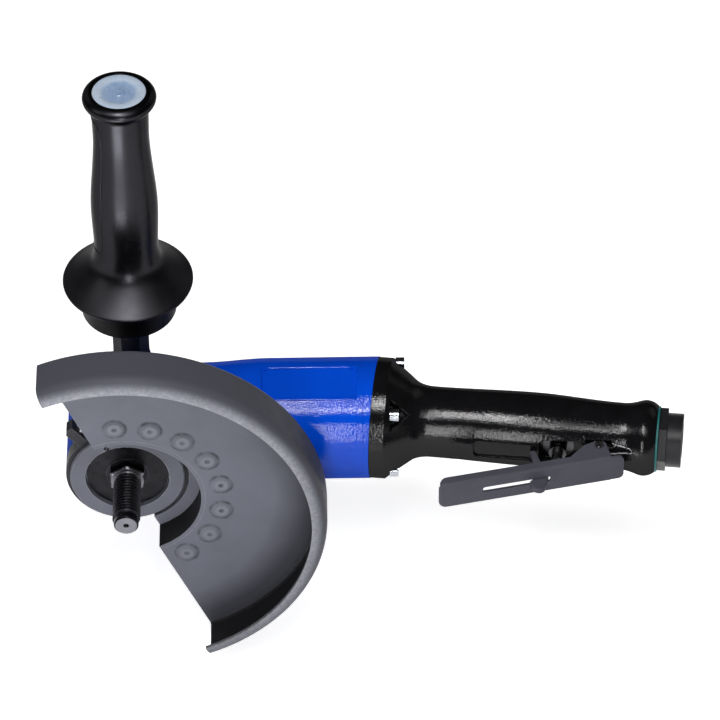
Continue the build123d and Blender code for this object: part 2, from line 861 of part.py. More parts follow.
# Motor cylinder with its bore set off centre
liner_plane = axis_plane(apex + Vector(0, liner_offset, 0), (1, 0, 0))
dowel_circle = (liner_bore - liner_offset + motor_bore) / 2
dowel_start = front_plate_end - dowel_bite
dowel_end = liner_end + dowel_bite
with BuildPart() as motor_cylinder:
    ring(motor_axis, front_plate_end, liner_end, motor_bore)
    ring(liner_plane, front_plate_end, liner_end, liner_bore, mode=Mode.SUBTRACT)
    round_holes(motor_axis, front_plate_end, liner_end, dowel_radius, dowel_circle, 1, 180)
keep(motor_cylinder, "motor_cylinder")

# End plates that carry the rotor bearings
with BuildPart() as front_end_plate:
    ring(motor_axis, motor_start, front_plate_end, motor_bore, front_shaft_radius + moving_gap)
    ring(motor_axis, motor_start, motor_start + front_rotor_bearing[2], front_rotor_bearing[1],
         mode=Mode.SUBTRACT)
    round_holes(motor_axis, dowel_start, front_plate_end, dowel_radius, dowel_circle, 1, 180)
keep(front_end_plate, "front_end_plate")

with BuildPart() as rear_end_plate:
    ring(motor_axis, liner_end, stack_end, motor_bore, rear_shaft_radius + moving_gap)
    ring(motor_axis, rear_bearing_x, stack_end, rear_rotor_bearing[1], mode=Mode.SUBTRACT)
    round_holes(motor_axis, liner_end, dowel_end, dowel_radius, dowel_circle, 1, 180)
keep(rear_end_plate, "rear_end_plate")

# Dowel that stops the cylinder turning
with BuildPart() as cylinder_dowel:
    round_holes(motor_axis, dowel_start, dowel_end, dowel_radius, dowel_circle, 1, 180, Mode.ADD)
keep(cylinder_dowel, "cylinder_dowel")

# Inlet gasket, bushing and screen
with BuildPart() as inlet_gasket:
    ring(handle_axis, handle_length, gasket_end, gasket_radius, inlet_shank_radius)
keep(inlet_gasket, "inlet_gasket")

with BuildPart() as inlet_bushing:
    ring(handle_axis, inlet_shank_start, gasket_end, inlet_shank_radius)
    hexagon(handle_axis, gasket_end, inlet_hex_end, inlet_hex_flats)
    ring(handle_axis, inlet_hex_end, inlet_end, inlet_radius)
    ring(handle_axis, inlet_shank_start, inlet_end, inlet_throat_radius, mode=Mode.SUBTRACT)
    ring(handle_axis, inlet_end - inlet_thread_length, inlet_end, inlet_thread_radius, mode=Mode.SUBTRACT)
keep(inlet_bushing, "inlet_bushing")

with BuildPart() as inlet_screen:
    ring(handle_axis, screen_start, inlet_shank_start, inlet_shank_radius)
    for circle, count in zip(screen_hole_circles, screen_hole_counts):
        round_holes(handle_axis, screen_start, inlet_shank_start, screen_hole_radius, circle, count)
keep(inlet_screen, "inlet_screen")

# Throttle valve: bushing, stem with its poppet, spring
with BuildPart() as valve_bushing:
    groove_step = (bushing_top - pocket_floor) / 5
    turned(
        valve_axis,
        [
            (valve_seat_level, bushing_flow_radius),
            (valve_seat_level, valve_bore_radius),
            (pocket_floor, valve_bore_radius),
            (pocket_floor, bushing_neck_radius),
            (bushing_top, bushing_neck_radius),
            (bushing_top, stem_radius + running_gap),
            (bushing_top - bushing_guide, stem_radius + running_gap),
            (bushing_top - bushing_guide, bushing_flow_radius),
        ],
    )
    for step in (1, 3):
        start = pocket_floor + step * groove_step
        ring(valve_axis, start, start + groove_step, bushing_neck_radius,
             bushing_neck_radius - bushing_groove, Mode.SUBTRACT)
    port_level = (valve_seat_level + bushing_top - bushing_guide) / 2
    port_axis = axis_plane(valve_axis.from_local_coords((port_level, 0, 0)), -handle_along)
    ring(port_axis, 0, valve_bore_radius, bushing_port_radius, mode=Mode.SUBTRACT)
keep(valve_bushing, "valve_bushing")

with BuildPart() as valve_stem:
    cap_start = stem_tip - stem_cap_length
    band_level = cap_start - stem_band_length
    turned(
        valve_axis,
        [
            (poppet_level, 0),
            (poppet_level, poppet_radius),
            (valve_seat_level - running_gap, poppet_radius),
            (valve_seat_level - running_gap, stem_radius),
            (band_level, stem_radius),
            (band_level, stem_band_radius),
            (cap_start, stem_band_radius),
            (cap_start, stem_radius),
            (stem_tip - stem_radius / 2, stem_radius),
            (stem_tip, stem_radius / 2),
            (stem_tip, 0),
        ],
    )
keep(valve_stem, "valve_stem")

spring_room = poppet_level - valve_bore_floor - 2 * running_gap - 2 * valve_spring_wire
spring_pitch = spring_room / valve_spring_turns
spring_start = valve_axis.from_local_coords((valve_bore_floor + running_gap + valve_spring_wire, 0, 0))
valve_coil = helix_path(spring_start, handle_out, handle_along, valve_spring_radius, spring_pitch,
                        valve_spring_turns)
with BuildPart() as valve_spring:
    with BuildSketch(Plane(valve_coil @ 0, z_dir=valve_coil % 0)) as wire:
        Circle(valve_spring_wire)
    sweep(wire.sketch, path=valve_coil)
keep(valve_spring, "valve_spring")



def is_lever_bend(edge):
    """True for the outer edges between the lever's web and its sides."""
    place = lever_plane.to_local_coords(edge.center())
    on_web = abs(place.Y - lever_drop) < running_gap
    return on_web and abs(abs(place.Z) - lever_width / 2) < running_gap and edge.length > lever_reach / 2


# Throttle lever: slotted web with turned-up sides, two ears on the pin, tail tab, latch knuckles
with BuildPart() as throttle_lever:
    side_edge = lever_drop - lever_side
    web_plane = Plane(lever_plane.from_local_coords((0, web_level, 0)), lever_along, lever_plane.y_dir)
    with BuildSketch(web_plane):
        with Locations(((lever_reach - ear_radius) / 2, 0)):
            RectangleRounded(lever_reach + ear_radius, lever_width, lever_tip_corner)
        with Locations(((ear_reach - ear_radius) / 2, 0)):
            Rectangle(ear_reach + ear_radius, lever_width)
        with Locations((-lever_tail / 2, 0)):
            RectangleRounded(lever_tail, 2 * lever_tail_half_width, lever_corner)
        with Locations((-(lever_tail - lever_corner) / 2, 0)):
            Rectangle(lever_tail - lever_corner, 2 * lever_tail_half_width)
        with Locations(((slot_start + slot_end) / 2, 0)):
            RectangleRounded(slot_end - slot_start, slot_width, slot_corner, mode=Mode.SUBTRACT)
    extrude(amount=lever_thickness)
    for end in (-1, 1):
        with BuildSketch(lever_plane.offset(end * (lever_width / 2 - lever_thickness))) as side:
            Circle(ear_radius)
            with BuildLine():
                Polyline((-ear_radius, 0), (-ear_radius, lever_drop), (lever_reach, lever_drop))
                ThreePointArc(
                    (lever_reach, lever_drop),
                    (lever_reach - lever_side * (1 - cos(pi / 4)), lever_drop - lever_side * sin(pi / 4)),
                    (lever_reach - lever_side, side_edge),
                )
                Polyline(
                    (lever_reach - lever_side, side_edge),
                    (ear_reach, side_edge),
                    (ear_rise, -ear_radius / 2),
                    (0, -ear_radius),
                    (-ear_radius, 0),
                )
            make_face()
            Circle(lever_pin_radius + running_gap, mode=Mode.SUBTRACT)
        extrude(side.sketch, amount=end * lever_thickness)
    with BuildSketch(web_plane) as tip_outline:
        with Locations((lever_reach / 2 - lever_tail, 0)):
            RectangleRounded(lever_reach + 2 * lever_tail, lever_width, lever_tip_corner)
    extrude(tip_outline.sketch, amount=2 * lever_drop, both=True, mode=Mode.INTERSECT)
    fillet(throttle_lever.edges().filter_by(is_lever_bend), lever_bend)
    for end in (-1, 1):
        knuckle_start = end * (slot_width / 2)
        knuckle_end = end * (slot_width / 2 + knuckle_length)
        ring(latch_axis, min(knuckle_start, knuckle_end), max(knuckle_start, knuckle_end), knuckle_radius)
    ring(latch_axis, -slot_width / 2 - knuckle_length, slot_width / 2 + knuckle_length, latch_pin_radius,
         mode=Mode.SUBTRACT)
keep(throttle_lever, "throttle_lever")

# Lever pin through the lug, with a head at each end
pin_end = lever_width / 2 + running_gap
with BuildPart() as lever_pin:
    ring(pin_axis, -pin_end, pin_end, lever_pin_radius)
    for end in (-1, 1):
        low = min(end * pin_end, end * (pin_end + lever_pin_head))
        ring(pin_axis, low, low + lever_pin_head, lever_pin_head_radius)
keep(lever_pin, "lever_pin")

# Safety latch: thumb tab outside the web, leg reaching in to the handle
with BuildPart() as safety_latch:
    leg_side = latch_leg_width / 2
    leg_shift = latch_leg_reach * tan(latch_leg_angle)
    tab_root = latch_tab_height - latch_tab_tip
    slab(
        Plane(latch_pivot, lever_along, (0, 0, 1)),
        [
            (-leg_side, 0),
            (leg_shift - leg_side, -latch_leg_reach),
            (leg_shift + leg_side, -latch_leg_reach),
            (leg_side, 0),
        ],
        latch_thickness / 2,
    )
    slab(
        Plane(latch_pivot, lever_along, (0, 0, 1)),
        [
            (-latch_hub_radius / 2, 0),
            (latch_hub_radius, -latch_hub_radius / 2),
            (latch_tab_length, lever_drop - latch_level + moving_gap),
            (latch_tab_length, tab_root),
            (latch_tab_length / 2, latch_tab_height),
            (tab_root * tan(latch_tab_lean) - latch_hub_radius / 2, tab_root),
        ],
        latch_thickness / 2,
    )
    ring(latch_axis, -latch_thickness / 2, latch_thickness / 2, latch_hub_radius)
    ring(latch_axis, -latch_thickness / 2, latch_thickness / 2, latch_pin_radius + running_gap,
         mode=Mode.SUBTRACT)
keep(safety_latch, "safety_latch")

with BuildPart() as latch_pin:
    ring(latch_axis, -slot_width / 2 - knuckle_length, slot_width / 2 + knuckle_length, latch_pin_radius)
keep(latch_pin, "latch_pin")

# Side grip: stud, damper cup, moulded grip, end cap
stud_hex_end = boss_top + stud_hex_length
with BuildPart() as grip_stud:
    hexagon(grip_axis, boss_top, stud_hex_end, stud_hex_flats)
    turned(
        grip_axis,
        [
            (boss_top, 0),
            (boss_top, stud_hex_flats),
            (stud_hex_end - stud_hex_chamfer, stud_hex_flats / 2 + 2 * stud_hex_chamfer),
            (stud_hex_end, stud_hex_flats / 2),
            (stud_hex_end, 0),
        ],
        Mode.INTERSECT,
    )
    ring(grip_axis, boss_top - stud_bite, boss_top, stud_radius)
    ring(grip_axis, stud_hex_end, cup_start, stud_neck_radius)
    ring(grip_axis, cup_start, stud_rod_end, stud_rod_radius)
keep(grip_stud, "grip_stud")

with BuildPart() as damper_cup:
    turned(
        grip_axis,
        [
            (cup_start, stud_rod_radius),
            (cup_start, cup_radius - cup_round),
            (cup_start + cup_round / 3, cup_radius - cup_round / 3),
            (cup_start + cup_round, cup_radius),
            (cup_end, cup_radius),
            (cup_end, stud_rod_radius),
        ],
    )
keep(damper_cup, "damper_cup")

with BuildPart() as side_grip:
    with BuildSketch(grip_axis):
        with BuildLine():
            Line((stud_rod_end, 0), (stud_rod_end, stud_rod_radius))
            Line((stud_rod_end, stud_rod_radius), (cup_end, stud_rod_radius))
            Line((cup_end, stud_rod_radius), (cup_end, cup_radius))
            Line((cup_end, cup_radius), collar_under)
            Spline(collar_under, (collar_level, collar_radius), collar_top, tangents=[(0, 1), (0.5, -1)])
            Spline(collar_top, grip_waist, tangents=[(0.5, -1), (1, 0)])
            Spline(grip_waist, grip_belly, tangents=[(1, 0), (1, 0)])
            Spline(grip_belly, grip_neck, tangents=[(1, 0), (1, 0)])
            Line(grip_neck, grip_flange_start)
            Spline(grip_flange_start, (grip_flange_level, grip_flange_radius), tangents=[(1, 0), (1, 0)])
            Spline(
                (grip_flange_level, grip_flange_radius),
                (grip_end, cap_radius + cap_recess),
                tangents=[(1, 0), (0, -1)],
            )
            Line((grip_end, cap_radius + cap_recess), (grip_end, cap_radius))
            Line((grip_end, cap_radius), (cap_seat, cap_radius))
            Line((cap_seat, cap_radius), (cap_seat, 0))
            Line((cap_seat, 0), (stud_rod_end, 0))
        make_face()
    revolve(axis=Axis(grip_axis.origin, grip_axis.x_dir))
keep(side_grip, "side_grip")

with BuildPart() as grip_end_cap:
    turned(
        grip_axis,
        [
            (cap_seat, 0),
            (cap_seat, cap_radius),
            (grip_end, cap_radius),
            (grip_end, cap_recess_radius),
            (grip_end - cap_recess, cap_recess_radius),
            (grip_end - cap_recess, cap_bump_radius),
            (grip_end - cap_recess / 2, cap_bump_radius),
            (grip_end - cap_recess / 2, 0),
        ],
    )
keep(grip_end_cap, "grip_end_cap")

# Guard: half of a turned shell, cut on a line through the spindle axis
cut_plane = Plane(origin=(0, 0, 0), z_dir=(cos(radians(guard_middle)), 0, sin(radians(guard_middle))))


def guard_corner(along, radius, outside, quarter):
    """Quarter round of the guard's sheet, from its three points."""
    turn = [quarter * pi / 2 + step * pi / 4 for step in range(3)]
    return [(along + outside * sin(angle), radius + outside * cos(angle)) for angle in turn]


with BuildPart() as guard_shell:
    rear_centre = (guard_back - guard_rear_round, guard_radius - guard_rear_round)
    front_centre = (guard_front + guard_front_round, guard_radius - guard_front_round)
    with BuildSketch(spindle_axis):
        with BuildLine():
            rear_outside = guard_corner(*rear_centre, guard_rear_round, 0)
            rear_inside = guard_corner(*rear_centre, guard_rear_round - guard_sheet, 0)
            front_outside = guard_corner(*front_centre, guard_front_round, 3)
            front_inside = guard_corner(*front_centre, guard_front_round - guard_sheet, 3)
            Line((guard_back, guard_inner), rear_outside[2])
            ThreePointArc(*rear_outside)
            Line(rear_outside[0], front_outside[2])
            ThreePointArc(*front_outside)
            Polyline(
                front_outside[0],
                (guard_front, guard_lip),
                (guard_front + guard_sheet, guard_lip),
                front_inside[0],
            )
            ThreePointArc(*front_inside)
            Line(front_inside[2], rear_inside[0])
            ThreePointArc(*rear_inside)
            Polyline(rear_inside[2], (guard_face, guard_inner), (guard_back, guard_inner))
        make_face()
    revolve(axis=Axis(spindle_axis.origin, spindle_axis.x_dir))
    split(bisect_by=cut_plane, keep=Keep.TOP)
    for step in range(weld_count):
        angle = radians(weld_first - step * weld_step)
        weld_axis = axis_plane((weld_circle * cos(angle), guard_face, weld_circle * sin(angle)), (0, -1, 0))
        turned(
            weld_axis,
            [
                (0, 0),
                (0, weld_radius),
                (weld_height, (weld_radius + weld_dent) / 2),
                (weld_height, weld_dent),
                (weld_height / 3, 0),
            ],
        )
keep(guard_shell, "guard_shell")

# Half collar welded into the shell, and the clamp band behind it
with BuildPart() as guard_collar:
    collar_inner = collar_outer - collar_wall
    turned(
        spindle_axis,
        [
            (guard_face, collar_inner),
            (guard_face, collar_outer),
            (band_start + collar_weld, collar_outer),
            (band_start + collar_weld, band_outer),
            (collar_seat, band_outer),
            (collar_seat, collar_inner),
        ],
    )
    split(bisect_by=cut_plane, keep=Keep.TOP)
keep(guard_collar, "guard_collar")

clamp_level = (band_start + band_end) / 2
ear_direction = Vector(cos(radians(ear_angle)), 0, sin(radians(ear_angle)))
ear_plane = Plane(origin=(0, clamp_level, 0), x_dir=ear_direction, z_dir=(0, 1, 0))
ear_end = ear_gap + ear_thickness
nut_end = clamp_nut_thickness - lug_thickness
clamp_axis = axis_plane(ear_plane.from_local_coords((band_outer + ear_screw_level, 0, 0)), ear_plane.y_dir,
                        ear_direction)
with BuildPart() as clamp_band:
    ring(spindle_axis, band_start, band_end, band_outer, band_inner)
    slab(
        ear_plane,
        [
            (band_inner + band_thickness / 2, -lug_thickness),
            (band_outer + ear_height - lug_corner, -lug_thickness),
            (band_outer + ear_height, lug_corner - lug_thickness),
            (band_outer + ear_height, ear_end),
            (band_inner + band_thickness / 2, ear_end),
        ],
        band_width / 2,
    )
    slab(
        ear_plane,
        [
            (0, 0),
            (band_outer + 2 * ear_height, 0),
            (band_outer + 2 * ear_height, ear_gap),
            (0, ear_gap),
        ],
        band_width,
        Mode.SUBTRACT,
    )
    ring(clamp_axis, -lug_thickness, ear_end, clamp_screw_radius, mode=Mode.SUBTRACT)
    ring(clamp_axis, -lug_thickness, nut_end, clamp_nut_radius, mode=Mode.SUBTRACT)
keep(clamp_band, "clamp_band")

with BuildPart() as clamp_screw:
    ring(clamp_axis, -lug_thickness, ear_end, clamp_screw_radius)
    ring(clamp_axis, ear_end, ear_end + clamp_head_height, clamp_head_radius)
    head_end = ear_end + clamp_head_height
    hexagon(clamp_axis, head_end - socket_depth, head_end, socket_flats, mode=Mode.SUBTRACT)
keep(clamp_screw, "clamp_screw")

with BuildPart() as clamp_nut:
    ring(clamp_axis, -lug_thickness, nut_end, clamp_nut_radius, clamp_screw_radius)
keep(clamp_nut, "clamp_nut")
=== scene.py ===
import json
import math

import bpy
from mathutils import Matrix, Vector
from mathutils.bvhtree import BVHTree


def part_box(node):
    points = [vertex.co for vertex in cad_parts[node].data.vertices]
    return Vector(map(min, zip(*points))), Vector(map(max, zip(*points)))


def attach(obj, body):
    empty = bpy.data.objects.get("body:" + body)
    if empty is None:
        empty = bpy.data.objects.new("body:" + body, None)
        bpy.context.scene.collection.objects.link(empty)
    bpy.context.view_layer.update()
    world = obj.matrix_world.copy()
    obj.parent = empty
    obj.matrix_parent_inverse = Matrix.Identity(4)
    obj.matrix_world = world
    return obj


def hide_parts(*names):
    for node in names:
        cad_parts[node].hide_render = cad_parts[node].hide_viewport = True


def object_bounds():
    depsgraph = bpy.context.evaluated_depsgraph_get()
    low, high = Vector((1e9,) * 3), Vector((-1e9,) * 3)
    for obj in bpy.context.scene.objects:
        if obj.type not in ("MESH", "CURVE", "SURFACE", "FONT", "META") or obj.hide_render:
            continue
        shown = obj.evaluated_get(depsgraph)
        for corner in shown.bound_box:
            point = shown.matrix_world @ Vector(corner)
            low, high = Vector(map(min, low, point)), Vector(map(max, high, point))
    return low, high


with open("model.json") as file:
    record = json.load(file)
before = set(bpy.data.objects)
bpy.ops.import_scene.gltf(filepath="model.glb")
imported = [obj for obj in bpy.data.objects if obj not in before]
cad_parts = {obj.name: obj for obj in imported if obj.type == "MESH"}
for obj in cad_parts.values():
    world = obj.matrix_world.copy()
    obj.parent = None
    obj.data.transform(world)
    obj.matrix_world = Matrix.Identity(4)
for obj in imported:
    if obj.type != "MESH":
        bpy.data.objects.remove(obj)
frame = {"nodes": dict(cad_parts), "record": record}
bpy.context.view_layer.update()
cad_low, cad_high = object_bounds()
nodes = frame["nodes"]

# Places that the pieces share with the solids, in metres
MM = 0.001
X, Y, Z = Vector((1, 0, 0)), Vector((0, 1, 0)), Vector((0, 0, 1))
joints = {joint["name"]: joint for joint in frame["record"]["behaviour"]["joints"]}
motor_foot = Vector(joints["rotor_spin"]["pos_m"])
grip_offset = 3 * MM
grip_foot = motor_foot + X * grip_offset
lip_depth = 0.4 * MM
guard_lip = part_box("guard_shell")[0].y + lip_depth
guard_wall_radius = 91 * MM
collar_wall_radius = 34 * MM

# Weld spots of the guard, on a circle round the spindle
weld_circle = 48.15 * MM
weld_count, weld_first, weld_step = 8, 95.5, 21.2
weld_turns = [math.radians(weld_first - weld_step * spot) for spot in range(weld_count)]
weld_spots = [(X * math.cos(turn) + Z * math.sin(turn)) * weld_circle for turn in weld_turns]

# Colours of coats and wear, and of the painted shade and painted highlights on the guard
coat_grey = (0.1, 0.103, 0.127)
coat_grey_light = (0.118, 0.122, 0.152)
# painted shade on the outer face of the guard's wall
outer_wall_shade_grey = (0.062, 0.063, 0.077)
worn_grey = (0.42, 0.43, 0.46)
# wear along the guard's edges, and the painted highlight on the weld spots' crests
rubbed_and_highlight_grey = (0.24, 0.245, 0.27)
# painted highlight along the guard's lip, partly real wear
lip_highlight_and_wear_grey = (0.32, 0.325, 0.35)
worn_steel = (0.12, 0.12, 0.137)
# dark tone of the clamp band, and painted shade on the guard's face and round its weld spots
dark_and_painted_shade_black = (0.02, 0.02, 0.023)
# painted shade on the inner face of the guard's and collar's walls
inner_wall_shade_black = (0.007, 0.007, 0.008)

# Values of a noise between which a finish changes from one level to the other
soft_change = (0.3, 0.7)
clear_change = (0.35, 0.65)
sharp_change = (0.38, 0.62)
chip_change = (0.4, 0.66)


# Shader helpers
class Nodes:
    """The node tree of a new material, filled by short calls."""

    scalar_results = ("DISTANCE", "DOT_PRODUCT", "LENGTH")

    def __init__(self, name):
        self.material = bpy.data.materials.new(name)
        self.material.use_nodes = True
        self.tree = self.material.node_tree

    def fill(self, socket, value):
        """Link the socket to another one, or set it to a number, a vector or a colour."""
        if isinstance(value, bpy.types.NodeSocket):
            self.tree.links.new(value, socket)
        elif isinstance(value, tuple):
            socket.default_value = (*value, 1)
        else:
            socket.default_value = value

    def node(self, kind, inputs=None, **settings):
        """A new node with its settings, and its inputs by name or number."""
        made = self.tree.nodes.new(kind)
        for key, value in settings.items():
            setattr(made, key, value)
        for socket, value in (inputs or {}).items():
            self.fill(made.inputs[socket], value)
        return made

    def math(self, operation, first, second):
        return self.node("ShaderNodeMath", {0: first, 1: second}, operation=operation).outputs["Value"]

    def vector_math(self, operation, *values):
        made = self.node("ShaderNodeVectorMath", dict(enumerate(values)), operation=operation)
        return made.outputs["Value" if operation in self.scalar_results else "Vector"]


class Finish(Nodes):
    """A Principled material whose texture coordinates are the object's own, in metres."""

    coat_ior = 4.0

    def __init__(self, name, metallic=0.0, specular=0.5):
        super().__init__(name)
        self.surface = self.tree.nodes["Principled BSDF"].inputs
        self.surface["Metallic"].default_value = metallic
        self.surface["Specular IOR Level"].default_value = specular
        self.place = self.node("ShaderNodeTexCoord").outputs["Object"]

    def colour(self, value):
        self.fill(self.surface["Base Color"], value)

    def rough(self, value):
        self.fill(self.surface["Roughness"], value)

    def noise(self, size, detail=3.0, roughness=0.55):
        """Noise whose features measure about size metres, from 0 to 1."""
        made = self.node("ShaderNodeTexNoise", {
            "Vector": self.place, "Scale": 1.0 / size, "Detail": detail, "Roughness": roughness})
        return made.outputs["Fac"]

    def cells(self, size):
        """Distance from the middle of cells that measure about size metres, softened where they meet."""
        inputs = {"Vector": self.place, "Scale": 1.0 / size}
        made = self.node("ShaderNodeTexVoronoi", inputs, feature="SMOOTH_F1")
        return made.outputs["Distance"]

    def span(self, value, start, end, at_start, at_end):
        """A value carried from one range to another and held at its ends."""
        made = self.node("ShaderNodeMapRange", {
            "Value": value, "From Min": start, "From Max": end, "To Min": at_start, "To Max": at_end})
        return made.outputs["Result"]

    def band(self, value, start, full, fade, end, most=1.0):
        """Rises from 0 at start to most at full, and falls back to 0 from fade to end."""
        rise = self.span(value, start, full, 0.0, most)
        fall = self.span(value, fade, end, 0.0, most)
        return self.math("SUBTRACT", rise, fall)

    def mix(self, share, first, second):
        """A colour between two; the sockets are those of the node's colour mode."""
        return self.node("ShaderNodeMix", {0: share, 6: first, 7: second}, data_type="RGBA").outputs[2]

    def cloud(self, size, dark, light, full=0.7, **noise):
        """A colour that drifts from dark to light in patches of a size, light where the noise is full."""
        made = self.node("ShaderNodeValToRGB", {"Fac": self.noise(size, **noise)})
        for element, position, tone in zip(made.color_ramp.elements, (soft_change[0], full), (dark, light)):
            element.position = position
            element.color = (*tone, 1)
        return made.outputs["Color"]

    def vary(self, size, low, high, change=soft_change, **noise):
        """A value that drifts between two levels over patches of a size."""
        return self.span(self.noise(size, **noise), *change, low, high)

    def along(self, axis):
        """Place along one axis of the object."""
        return self.node("ShaderNodeSeparateXYZ", {0: self.place}).outputs[axis]

    def nearest(self, axis, centres):
        """Distance from the nearest of some lines that run along an axis through the centres."""
        across = X + Y + Z - axis
        flat = self.vector_math("MULTIPLY", self.place, across)
        gaps = [self.vector_math("DISTANCE", flat, centre * across) for centre in centres]
        least = gaps[0]
        for gap in gaps[1:]:
            least = self.math("MINIMUM", least, gap)
        return least

    def facing(self, radius):
        """How far a surface faces away from the spindle's axis, from -1 to 1; 0 within a radius round it."""
        fade = 2 * MM
        geometry = self.node("ShaderNodeNewGeometry").outputs
        out = self.vector_math("MULTIPLY", geometry["Position"], X + Z)
        away = self.vector_math("DOT_PRODUCT", self.vector_math("NORMALIZE", out), geometry["Normal"])
        beyond = self.span(self.vector_math("LENGTH", out), radius - fade, radius, 0.0, 1.0)
        return self.math("MULTIPLY", beyond, away)

    def rounded(self, radius, samples):
        """The surface's normal with its edges rounded."""
        return self.node("ShaderNodeBevel", {"Radius": radius}, samples=samples).outputs["Normal"]

    def edges(self, radius):
        """1 along sharp edges, 0 on flat and gently curved faces."""
        gentle, sharp = 0.02, 0.25
        flat = self.node("ShaderNodeNewGeometry").outputs["Normal"]
        along = self.vector_math("DOT_PRODUCT", self.rounded(radius, samples=6), flat)
        return self.span(self.math("SUBTRACT", 1.0, along), gentle, sharp, 0.0, 1.0)

    def rubbed(self, radius, patch, least):
        """1 along sharp edges, down to least in patches, and 0 elsewhere."""
        return self.math("MULTIPLY", self.edges(radius), self.vary(patch, least, 1.0, clear_change))

    def bump(self, height, depth, rounding=None):
        """Relief of a depth, with the edges rounded in the shading."""
        inputs = {"Height": height, "Distance": depth}
        if rounding:
            inputs["Normal"] = self.rounded(rounding, samples=4)
        normal = self.node("ShaderNodeBump", inputs).outputs["Normal"]
        self.fill(self.surface["Normal"], normal)
        self.fill(self.surface["Coat Normal"], normal)

    def gloss(self, weight, smooth, dull, patch):
        """A clear coat, thin and dense, so that it reflects little more towards the outline than face on."""
        self.surface["Coat Weight"].default_value = weight
        self.surface["Coat IOR"].default_value = self.coat_ior
        self.fill(self.surface["Coat Roughness"], self.vary(patch, smooth, dull))

    def satin_coat(self, base, wear, grain):
        """A satin coat over a base colour, rubbed to the wear colour along edges."""
        self.colour(self.mix(self.rubbed(radius=0.8 * MM, patch=4 * MM, least=0.3), base, wear))
        self.rough(self.vary(7 * MM, 0.42, 0.55, detail=6.0))
        self.bump(self.noise(0.5 * MM, detail=4.0), grain, rounding=0.5 * MM)


# Finishes
def blue_enamel():
    look = Finish("blue_enamel", specular=0.0)
    look.colour(look.cloud(18 * MM, (0.0007, 0.056, 0.53), (0.0009, 0.063, 0.58)))
    look.gloss(0.052, smooth=0.05, dull=0.1, patch=5 * MM)
    orange_peel = look.noise(0.95 * MM, detail=1.0, roughness=0.4)
    look.bump(orange_peel, 0.08 * MM, rounding=0.4 * MM)
    return look.material


def black_coat():
    look = Finish("black_coat", specular=0.0)
    look.colour(look.cloud(9 * MM, (0.004, 0.004, 0.0045), (0.006, 0.006, 0.007)))
    look.gloss(0.05, smooth=0.07, dull=0.14, patch=4 * MM)
    hammered = look.math("ADD", look.noise(0.9 * MM, detail=1.0, roughness=0.5), look.cells(0.75 * MM))
    look.bump(hammered, 0.06 * MM, rounding=0.5 * MM)
    return look.material


def sheet_coat(name, dark, light):
    """The start of a grey coat on sheet steel: the finish and its cloudy tone."""
    look = Finish(name, specular=0.12)
    return look, look.cloud(26 * MM, dark, light, full=0.72, detail=5.0, roughness=0.6)


def satin_grey(name, dark, light, wear, grain):
    """Grey coat on sheet steel, rubbed along its edges."""
    look, tone = sheet_coat(name, dark, light)
    look.satin_coat(tone, wear, grain)
    return look.material


def face_painted_shade(look, tone, reach, wall_radius):
    """Painted shade on the guard's face, deeper towards its wall and gone before its lip."""
    width, most = 17 * MM, 0.75
    shade_gone, shade_full = -30 * MM, -26 * MM
    outward = look.span(reach, wall_radius - width, wall_radius, 0.0, most)
    behind_lip = look.span(look.along("Y"), shade_gone, shade_full, 0.0, 1.0)
    # Painted shade: the face darkens towards its wall
    return look.mix(look.math("MULTIPLY", outward, behind_lip), tone, dark_and_painted_shade_black)


def weld_painted_shade_and_highlight(look, tone, welds):
    """Painted shade round the foot of each weld spot and in its dent, uneven in patches, and a painted
    highlight on the crest between them.
    """
    dent_edge = (0.7 * MM, 1.4 * MM)
    crest_ring = (1.3 * MM, 1.8 * MM, 2.4 * MM, 4.0 * MM)
    foot_ring = (4.7 * MM, 5.5 * MM, 6.0 * MM, 6.9 * MM)
    gap = look.nearest(Y, welds)
    foot = look.band(gap, *foot_ring)
    dent = look.span(gap, *dent_edge, 1.0, 0.0)
    patches = look.vary(3.5 * MM, 0.12, 0.7, sharp_change, detail=4.0)
    # Painted shade in the crease round each weld spot's foot and in its dent
    weld_shade = look.math("MULTIPLY", look.math("MAXIMUM", foot, dent), patches)
    # Painted highlight on each weld spot's crest
    crest_highlight = look.band(gap, *crest_ring, most=0.25)
    return look.mix(crest_highlight, look.mix(weld_shade, tone, dark_and_painted_shade_black), rubbed_and_highlight_grey)


